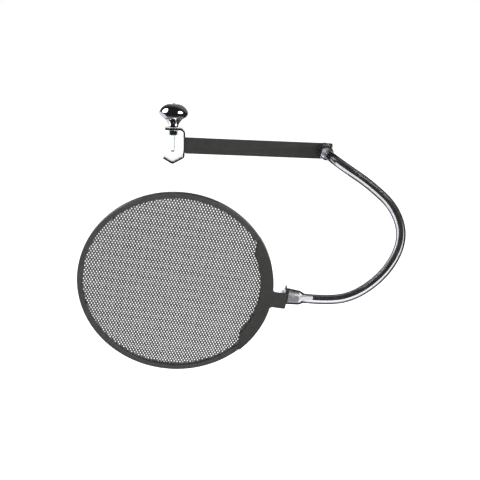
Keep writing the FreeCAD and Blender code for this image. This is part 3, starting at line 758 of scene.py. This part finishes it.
def gooseneck(base, tip):
    """Core and sleeve, cut midway between joints into one span for each joint."""
    line, marks, joints = neck_line(base, tip)
    frames = carry_frames(line)
    length = [0.0]
    for a, b in zip(line, line[1:]):
        length.append(length[-1] + (b - a).length)
    total = length[-1]
    halfway = [(marks[i] + marks[i + 1]) // 2 for i in range(1, len(marks) - 2)]
    cuts = [0, *halfway, len(line) - 1]

    def core_radii(at):
        """Radii round the core: one rib winds along it like a thread."""
        radii = []
        for k in range(CORE_AROUND):
            phase = (at / RIB_PITCH - k / CORE_AROUND) % 1.0
            radii.append(CORE_LOW + (CORE_HIGH - CORE_LOW) * math.sin(math.pi * phase) ** 0.7)
        return radii

    def core_middle(i):
        """The loose sleeve hangs on the core, so the core runs along the top of its bore."""
        way = frames[i][0]
        near = min(length[i], total - length[i])
        t = min(1.0, max(0.0, (near - HANG_FROM) / (HANG_TO - HANG_FROM)))
        return line[i] + (Z - way * way.z) * ((SLEEVE_BORE - CORE_HIGH - HANG_GAP) * ease(t))

    def core_piece(name, spots):
        """Capped stretch of the core over some points of the line."""
        rows = [tube_row(core_middle(i), *frames[i], core_radii(length[i])) for i in spots]
        faces = skin_rows(rows, False, True)
        start = (len(rows) - 1) * CORE_AROUND
        faces += [tuple(range(CORE_AROUND)), tuple(range(start, start + CORE_AROUND))]
        return new_mesh(name, [p for row in rows for p in row], faces, sharp=50)

    back = FERRULE_LENGTH - SOCKET_DEPTH + SOCKET_GAP - SLEEVE_LAP
    mouth_at = FERRULE_LENGTH - back
    taper_at = mouth_at + SLEEVE_TAPER

    def sleeve_radius(at, foot, mouth, straight):
        """Radius at a distance from the nearer end's socket floor."""
        if at < mouth_at:
            return foot + (mouth - foot) * (at + back) / FERRULE_LENGTH
        t = min(1.0, (at - mouth_at) / (taper_at - mouth_at))
        return mouth + (straight - mouth) * ease(t)

    def sleeve_stops(first, last):
        """(length, centre, way, side) along a span, carried on over the ferrules."""
        stops = [(length[i], line[i], *frames[i]) for i in range(first, last + 1, STOP_EVERY)]
        if (last - first) % STOP_EVERY:
            stops.append((length[last], line[last], *frames[last]))
        laps = round(back / LAP_STEP)
        if first == 0:
            way, side = frames[0]
            before = [LAP_STEP * k - back for k in range(laps)]
            stops = [(at, line[0] + way * at, way, side) for at in before] + stops
        if last == len(line) - 1:
            way, side = frames[-1]
            beyond = [LAP_STEP * k for k in range(1, laps + 1)]
            stops += [(total + at, line[-1] + way * at, way, side) for at in beyond]
        return stops

    for number in range(1, len(joints) + 1):
        first, last = cuts[number - 1], cuts[number]
        spots = range(first, last + 1)
        joint_at, joint_way = length[marks[number]], frames[marks[number]][0]
        coated_from = max(length[first], BARE_END)
        coated_to = min(length[last], total - BARE_END)
        room = min(joint_at - coated_from, coated_to - joint_at)
        bend = (number, joints[number - 1], joint_way, BEND_SHARE * room)
        nodes = [f"neck_core_{number - 1}", f"neck_core_{number}"]
        coated = [i for i in spots if BARE_END <= length[i] <= total - BARE_END]
        core = core_piece(f"gooseneck_core_{number}", coated)
        bend_over(core, SPRING, "neck_steel", *bend, nodes)
        for end, body, node, bare in (
            ("base", "clamp", nodes[0], [i for i in spots if i <= coated[0]]),
            ("tip", "screen", nodes[1], [i for i in spots if i >= coated[-1]]),
        ):
            if len(bare) > 1:
                dress(core_piece(f"gooseneck_bare_{end}", bare), BARE, body, "neck_steel", node)

        outer, inner = [], []
        for at, spot, *turn in sleeve_stops(first, last):
            near = min(at, total - at)
            for rows, gap, straight in (
                (outer, SLEEVE_WALL, SLEEVE_RADIUS),
                (inner, SLEEVE_LAP, SLEEVE_BORE),
            ):
                radius = sleeve_radius(near, FERRULE_FOOT + gap, FERRULE_MOUTH + gap, straight)
                rows.append(tube_row(spot, *turn, [radius] * SLEEVE_AROUND))
        rows = outer + inner[::-1]
        points = [p for row in rows for p in row]
        name = f"gooseneck_sleeve_{number}"
        sleeve = new_mesh(name, points, skin_rows(rows, True, True), sharp=50)
        nodes = [f"neck_sleeve_{number - 1}", f"neck_sleeve_{number}"]
        bend_over(sleeve, VINYL, "clear_sleeve", *bend, nodes)


# ---------------------------------------------------------------- screen

SCREEN_RADIUS, RIM_INNER, RIM_HALF = 76.2, 72.0, 2.4
RIM_SLIT, SLIT_DEPTH, JOINT_GAP = 0.6, 1.6, 0.5
MESH_LONG, MESH_SHORT, MESH_RADIUS = 3.73, 2.33, 73.3
HOLE_LONG, HOLE_SHORT, MESH_THICK, MESH_TILT = 0.70, 0.41, 0.34, 0.28
PLATE_INNER, PLATE_INNER_HALF, PLATE_HALF = 66.2, 31.5, 40.0
PLATE_STEP, STEP_SLANT = 73.6, 0.6
TAB_WIDTH, TAB_FILLET, TAB_CORNER, TAB_REACH = 13.4, 2.0, 1.2, 88.0
FLANGE_BEND, FLANGE_DEPTH, NECK_BEHIND, FOLD_STEPS = 1.0, 16.3, 6.5, 10


def rim(place):
    """Rolled rim with rounded edges, a slit for the mesh and a butt joint under the tab."""
    slit_floor = RIM_INNER + SLIT_DEPTH
    outline = rounded(
        [
            (RIM_INNER, RIM_SLIT, 0.2),
            (RIM_INNER, RIM_HALF, 0.6),
            (SCREEN_RADIUS, RIM_HALF, 0.9),
            (SCREEN_RADIUS, -RIM_HALF, 0.9),
            (RIM_INNER, -RIM_HALF, 0.6),
            (RIM_INNER, -RIM_SLIT, 0.2),
            (slit_floor, -RIM_SLIT, 0),
            (slit_floor, RIM_SLIT, 0),
        ],
        15,
    )
    gap = JOINT_GAP / SCREEN_RADIUS
    ring = lathe("rim_roll", outline, place, 288, closed=True, sharp=40, gap=gap)
    dress(ring, RIM, "screen", "rim_enamel", "rim_channel")


def stretched_metal(place):
    """Raised stretched-metal disc: staggered holes, tilted strands and thick knuckles.

    It is built from diamond cells with a hole in each. Cells share the points of their edges.
    """
    half_x, half_y, half_t = MESH_SHORT / 2, MESH_LONG / 2, MESH_THICK / 2
    frame_points, hole_points = [], []
    for k in range(8):
        quarter, rest = divmod(k * 45.0, 90.0)
        t = rest / 90.0
        ends = [(half_x, 0), (0, half_y), (-half_x, 0), (0, -half_y), (half_x, 0)]
        a, b = Vector(ends[int(quarter)]), Vector(ends[int(quarter) + 1])
        frame_points.append(a.lerp(b, t))
        angle = math.radians(k * 45.0)
        hole_points.append(Vector((HOLE_SHORT * math.cos(angle), HOLE_LONG * math.sin(angle))))
    points, faces, seen, edges = [], [], {}, {}

    def point(x, y, z):
        """Adds a point and returns its number."""
        points.append((x, y, z))
        return len(points) - 1

    def shared(x, y):
        """Top and bottom point of a cell's edge, made once."""
        key = (round(x * 50), round(y * 50))
        if key not in seen:
            seen[key] = (point(x, y, half_t), point(x, y, -half_t))
        return seen[key]

    reach = MESH_RADIUS
    for row in range(-round(2 * reach / MESH_LONG), round(2 * reach / MESH_LONG) + 1):
        for column in range(-round(reach / MESH_SHORT) - 1, round(reach / MESH_SHORT) + 2):
            x, y = (column + 0.5 * (row % 2)) * MESH_SHORT, row * half_y
            if math.hypot(x, y) > reach:
                continue
            around = [shared(x + p.x, y + p.y) for p in frame_points]
            ring = []
            for p in hole_points:
                lift = MESH_TILT * p.x / HOLE_SHORT
                spot = (x + p.x, y + p.y)
                ring.append((point(*spot, lift + half_t), point(*spot, lift - half_t)))
            for k in range(8):
                after = (k + 1) % 8
                faces.append((around[k][0], around[after][0], ring[after][0], ring[k][0]))
                faces.append((ring[k][1], ring[after][1], around[after][1], around[k][1]))
                faces.append((ring[k][0], ring[after][0], ring[after][1], ring[k][1]))
                edge = frozenset((around[k], around[after]))
                edges[edge] = None if edge in edges else (around[k], around[after])
    for pair in edges.values():
        if pair is not None:
            (a_top, a_low), (b_top, b_low) = pair
            faces.append((b_top, a_top, a_low, b_low))
    mesh = new_mesh("mesh_disc", points, faces, place, 35)
    dress(mesh, MESH, "screen", "mesh_enamel", "screen_mesh")


def polar(radius, degrees):
    """Point at a radius and angle."""
    angle = math.radians(degrees)
    return Vector((radius * math.cos(angle), radius * math.sin(angle)))


def ring_arc(radius, start, end, step=1.5):
    """Points on an arc round the screen's centre, both ends included."""
    count = max(2, round(abs(end - start) / step))
    return [polar(radius, start + (end - start) * k / count) for k in range(count + 1)]


def crescent(tab_end):
    """Outline of a plate along the rim, with stepped ends; tab_end is 0 where there is no tab."""
    step = PLATE_HALF - STEP_SLANT
    outline = ring_arc(PLATE_INNER, PLATE_INNER_HALF, -PLATE_INNER_HALF)
    outline += [polar(PLATE_STEP, -step)]
    last = [polar(PLATE_STEP, step)]
    if not tab_end:
        return outline + ring_arc(SCREEN_RADIUS, -PLATE_HALF, PLATE_HALF) + last
    half, hub_y = TAB_WIDTH / 2, TAB_WIDTH / 2 + TAB_FILLET
    hub_x = math.sqrt((SCREEN_RADIUS + TAB_FILLET) ** 2 - hub_y**2)
    touch = math.degrees(math.atan2(hub_y, hub_x))
    outline += ring_arc(SCREEN_RADIUS, -PLATE_HALF, -touch)
    turns = [180 - touch + (touch - 90) * k / 6 for k in range(1, 7)]
    corner = [Vector((hub_x, -hub_y)) + polar(TAB_FILLET, turn) for turn in turns]
    outline += corner
    tab = [(hub_x, -half), (tab_end, -half, TAB_CORNER), (tab_end, half, TAB_CORNER), (hub_x, half)]
    outline += rounded(tab, 20, closed=False)[1:-1]
    outline += [Vector((p.x, -p.y)) for p in reversed(corner)]
    return outline + ring_arc(SCREEN_RADIUS, touch, PLATE_HALF) + last


def front_plate(place):
    """Front crescent whose tab is folded back through a right angle to carry the gooseneck."""
    middle_z, radius = RIM_HALF + MOUNT_THICK / 2, FLANGE_BEND + MOUNT_THICK / 2
    bend_from = TAB_REACH - MOUNT_THICK - FLANGE_BEND
    bend_to = bend_from + radius * math.pi / 2
    below = middle_z - radius
    tab_end = bend_to + below + FLANGE_DEPTH - RIM_HALF - MOUNT_THICK
    bolt = circle(bend_to + below + NECK_BEHIND, 0, BOLT_HOLE)
    points, faces = plate("crescent", [crescent(tab_end), bolt], MOUNT_THICK)
    work = bmesh.new()
    corners = [work.verts.new(p) for p in points]
    for face in faces:
        work.faces.new([corners[i] for i in face])
    for k in range(FOLD_STEPS + 1):
        cut_x = bend_from + (bend_to - bend_from) * k / FOLD_STEPS
        everything = work.verts[:] + work.edges[:] + work.faces[:]
        bmesh.ops.bisect_plane(work, geom=everything, plane_co=(cut_x, 0, 0), plane_no=(1, 0, 0))
    for corner in work.verts:
        x, y, z = corner.co
        if x > bend_from:
            turn = min((x - bend_from) / radius, math.pi / 2)
            beyond = max(0.0, x - bend_to)
            corner.co = (
                bend_from + (radius + z) * math.sin(turn),
                y,
                (radius + z) * math.cos(turn) - radius - beyond,
            )
    work.verts.index_update()
    points = [v.co.copy() for v in work.verts]
    faces = [[v.index for v in face.verts] for face in work.faces]
    work.free()
    lifted = place @ Matrix.Translation((0, 0, middle_z * MM))
    plate_piece = new_mesh("crescent_front", points, faces, lifted, SHEET_SHARP)
    dress(plate_piece, PLATE, "screen", "black_enamel", "mount_plate")


def rear_plate(place):
    """The same crescent behind the rim, without the tab."""
    points, faces = plate("crescent", [crescent(0)], MOUNT_THICK)
    behind = place @ Matrix.Translation((0, 0, (-RIM_HALF - MOUNT_THICK / 2) * MM))
    plate_piece = new_mesh("crescent_rear", points, faces, behind, SHEET_SHARP)
    dress(plate_piece, PLATE, "screen", "black_enamel", "back_plate")


# ---------------------------------------------------------------- studio

FLOOR_DROP, FLOOR_SIZE = 0.25, 40.0

# Camera, in millimetres of lens and sensor, degrees of turn, and metres of place.
CAMERA_LENS, CAMERA_SENSOR, CAMERA_DISTANCE = 60.0, 36.0, 0.640
CAMERA_AZIMUTH, CAMERA_ELEVATION, CAMERA_ROLL = -5.43, 16.01, 3.17
CAMERA_AIM = Vector((0.0557, -0.0276, -0.0662))

# What the shiny pieces mirror: a white sweep behind the object, in a dark room. SWEEP_SIDE says
# where it starts and is full towards +Y; SWEEP_TOP and SWEEP_FOOT where it ends above and below.
# Cards are (direction, cosine where they start, cosine where they are full, strength, colour):
# a bright one high on each side, a broad one low on the left, a faint glow from the floor and a
# fainter one above the sweep.
SWEEP_SIDE, SWEEP_TOP, SWEEP_FOOT = (0.60, 0.92), (0.250, 0.190), (-0.62, -0.40)
ROOM = (0.022, 0.020, 0.019)
CARDS = [
    ((-0.80, 0.08, 0.66), 0.930, 0.950, 5.0, (0.92, 0.93, 1.0)),
    ((0.72, -0.38, 0.62), 0.950, 0.962, 5.0, (1.0, 1.0, 1.0)),
    ((-0.76, 0.46, -0.46), 0.76, 0.88, 1.1, (0.90, 0.90, 1.0)),
    ((0.10, 0.15, -0.98), 0.70, 0.90, 0.30, (1.0, 1.0, 1.0)),
    ((0.30, 0.84, 0.45), 0.60, 1.00, 0.20, (1.0, 0.98, 0.95)),
]


def floor():
    """White ground that the mirrors do not see."""
    low = cad_box[0].z - FLOOR_DROP
    mesh = bpy.data.meshes.new("floor")
    half = FLOOR_SIZE / 2
    corners = [(-half, -half, low), (half, -half, low), (half, half, low), (-half, half, low)]
    mesh.from_pydata(corners, [], [(0, 1, 2, 3)])
    plane = bpy.data.objects.new("floor", mesh)
    bpy.context.collection.objects.link(plane)
    mat, _, main, _ = shader("floor_white")
    main.inputs["Base Color"].default_value = (0.5, 0.5, 0.5, 1)
    main.inputs["Roughness"].default_value = 1.0
    main.inputs["Specular IOR Level"].default_value = 0.0
    main.inputs["Emission Color"].default_value = (1, 1, 1, 1)
    main.inputs["Emission Strength"].default_value = 1.0
    mesh.materials.append(mat)
    plane.visible_glossy = False


def soft_box(name, direction, distance, width, height, power, colour=(1, 1, 1)):
    """Rectangular lamp aimed at the object's middle; the mirrors see the cards in its place."""
    lamp = bpy.data.lights.new(name, "AREA")
    lamp.shape, lamp.size, lamp.size_y, lamp.energy = "RECTANGLE", width, height, power
    lamp.color = colour
    holder = bpy.data.objects.new(name, lamp)
    away = Vector(direction).normalized()
    aim = (cad_box[0] + cad_box[1]) / 2
    holder.location = aim + away * distance
    holder.rotation_euler = away.to_track_quat("Z", "Y").to_euler()
    holder.visible_glossy = False
    bpy.context.collection.objects.link(holder)


def surroundings():
    """White to the camera, black to diffuse rays, and a dark room with a sweep to mirrors."""
    world = bpy.data.worlds.new("studio")
    bpy.context.scene.world = world
    world.use_nodes = True
    tree = world.node_tree
    sky = tree.nodes["Background"]
    way = tree.nodes.new("ShaderNodeTexCoord").outputs["Generated"]

    def ramp(value, start, full, strength=1.0):
        """Smooth rise from 0 at start to strength at full."""
        made = tree.nodes.new("ShaderNodeMapRange")
        made.interpolation_type = "SMOOTHSTEP"
        made.inputs["From Min"].default_value, made.inputs["From Max"].default_value = start, full
        made.inputs["To Max"].default_value = strength
        tree.links.new(value, made.inputs["Value"])
        return made.outputs["Result"]

    def blend(operation, a, b):
        """Mixes two colours, or the sockets that carry them."""
        made = tree.nodes.new("ShaderNodeMix")
        made.data_type, made.blend_type = "RGBA", operation
        made.inputs[0].default_value = 1.0
        for value, socket in ((a, made.inputs[6]), (b, made.inputs[7])):
            if isinstance(value, tuple):
                socket.default_value = (*value, 1)
            else:
                tree.links.new(value, socket)
        return made.outputs[2]

    parts = tree.nodes.new("ShaderNodeSeparateXYZ")
    tree.links.new(way, parts.inputs["Vector"])
    below_ceiling = ramp(parts.outputs["Z"], *SWEEP_TOP)
    light = blend("MULTIPLY", ramp(parts.outputs["Y"], *SWEEP_SIDE), below_ceiling)
    light = blend("MULTIPLY", light, ramp(parts.outputs["Z"], *SWEEP_FOOT))
    light = blend("LIGHTEN", light, ROOM)
    for direction, start, full, strength, colour in CARDS:
        aim = tree.nodes.new("ShaderNodeVectorMath")
        aim.operation = "DOT_PRODUCT"
        tree.links.new(way, aim.inputs[0])
        aim.inputs[1].default_value = Vector(direction).normalized()
        card = blend("MULTIPLY", ramp(aim.outputs["Value"], start, full, strength), colour)
        light = blend("LIGHTEN", light, card)
    rays = tree.nodes.new("ShaderNodeLightPath")
    light = blend("MULTIPLY", light, ramp(rays.outputs["Is Diffuse Ray"], 1.0, 0.0))
    light = blend("LIGHTEN", light, rays.outputs["Is Camera Ray"])
    tree.links.new(light, sky.inputs["Color"])


def camera():
    """Looks at CAMERA_AIM from CAMERA_DISTANCE away."""
    angles = (CAMERA_AZIMUTH, CAMERA_ELEVATION, CAMERA_ROLL)
    azimuth, elevation, roll = (math.radians(v) for v in angles)
    level = math.cos(elevation)
    back = Vector((math.sin(azimuth) * level, -math.cos(azimuth) * level, math.sin(elevation)))
    lens = bpy.data.cameras.new("camera")
    lens.lens, lens.sensor_width = CAMERA_LENS, CAMERA_SENSOR
    lens.clip_start, lens.clip_end = 0.05, 50.0
    eye = bpy.data.objects.new("camera", lens)
    bpy.context.collection.objects.link(eye)
    eye.location = CAMERA_AIM + back * CAMERA_DISTANCE
    eye.rotation_mode = "QUATERNION"
    spin = Matrix.Rotation(roll, 3, "Z").to_quaternion()
    eye.rotation_quaternion = back.to_track_quat("Z", "Y") @ spin
    bpy.context.scene.camera = eye


# ---------------------------------------------------------------- assembly

clamp_bracket()
clamp_boss()
clamp_screw()
screw_tip()
clamp_knob()
arm()
screen = screen_place()
base_end = fitting_place("base", -Y, X)
tip_end = fitting_place("tip", screen.to_3x3() @ X, screen.to_3x3() @ Y)
end_fitting("base", "clamp", base_end, ARM_THICK)
end_fitting("tip", "screen", tip_end, MOUNT_THICK)
gooseneck(base_end, tip_end)
rim(screen)
stretched_metal(screen)
front_plate(screen)
rear_plate(screen)

floor()
soft_box("left_box", (-0.82, 0.08, 0.56), 1.1, 0.55, 0.40, 16, (0.94, 0.95, 1.0))
soft_box("right_box", (0.88, -0.36, 0.30), 1.1, 0.34, 0.22, 12)
soft_box("front_fill", (-0.12, -0.98, 0.04), 1.4, 1.4, 0.8, 50)
surroundings()
bpy.context.scene.view_settings.view_transform = "Standard"
camera()
